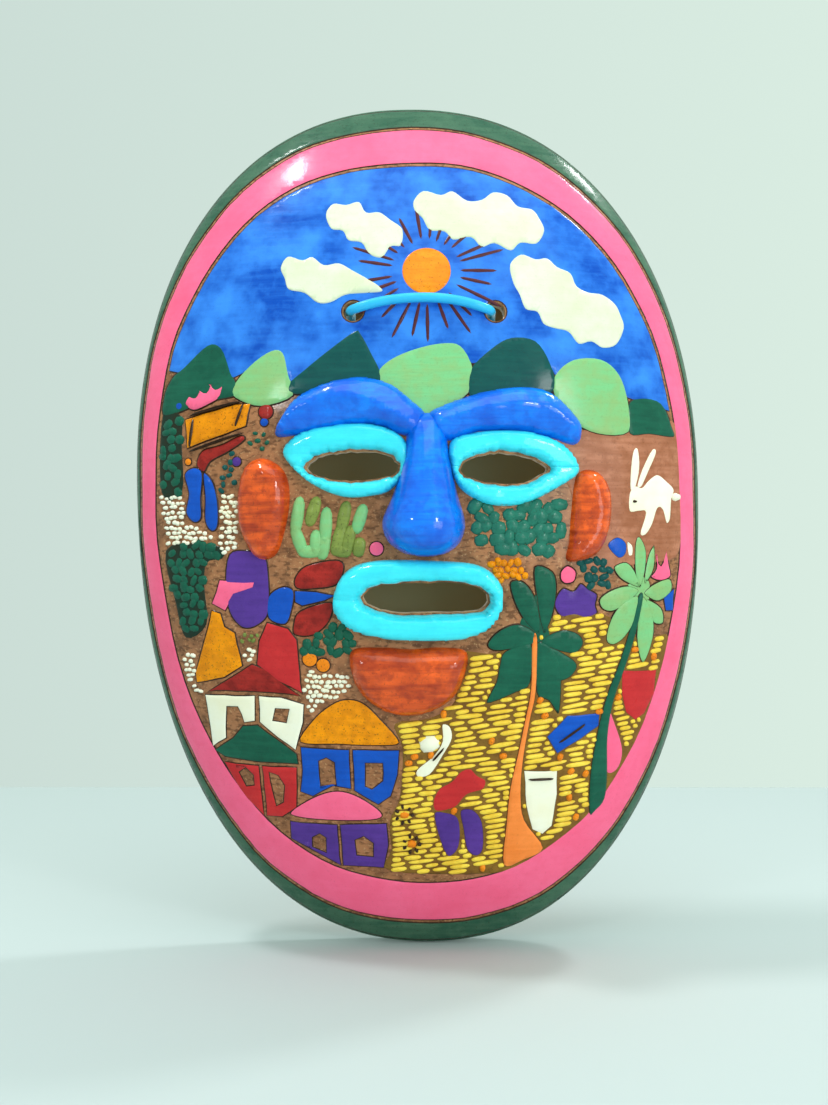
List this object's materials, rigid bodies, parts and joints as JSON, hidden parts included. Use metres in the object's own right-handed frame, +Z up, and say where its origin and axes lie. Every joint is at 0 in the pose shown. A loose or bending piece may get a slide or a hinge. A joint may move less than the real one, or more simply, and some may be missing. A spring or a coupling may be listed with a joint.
{
  "type": "wall mask",
  "caption": "Oval hand-modelled clay wall mask with a painted, varnished face, open eye and mouth slots, raised features and a swinging hanging cord.",
  "frame": {"origin": "the point on the wall plane where the nail stands that the raised hanging cord loops over", "axes": "+Z up the face, +X to the viewer's right, and the face looks along -Y with the rim's back edge in the plane y = 0"},
  "size_m": [0.201, 0.0719, 0.3013],
  "materials": {
    "fired_clay": "fired earthenware, painted and varnished in front and bare inside",
    "blue_varnish": "gloss varnished blue paint on clay",
    "turquoise_varnish": "gloss varnished turquoise paint on clay",
    "red_varnish": "gloss varnished orange-red paint on clay",
    "cord": "limp round plastic cord"
  },
  "bodies": {
    "mask": {"clay_shell": "fired_clay", "left_brow": "blue_varnish", "right_brow": "blue_varnish", "nose": "blue_varnish", "left_upper_eyelid": "turquoise_varnish", "left_lower_eyelid": "turquoise_varnish", "right_upper_eyelid": "turquoise_varnish", "right_lower_eyelid": "turquoise_varnish", "left_cheek": "red_varnish", "right_cheek": "red_varnish", "upper_lip": "turquoise_varnish", "lower_lip": "turquoise_varnish", "chin": "red_varnish", "cord_front_run": "cord"},
    "cord_loop": {"cord_short_strand": "cord", "cord_long_strand": "cord", "cord_knot": "cord"}
  },
  "joints": [
    {"name": "cord_loop_swing", "type": "hinge", "parent": "mask", "child": "cord_loop", "pos_m": [0, -0.037, -0.0238], "axis": [1, 0, 0], "range_deg": [-5, 145]}
  ]
}
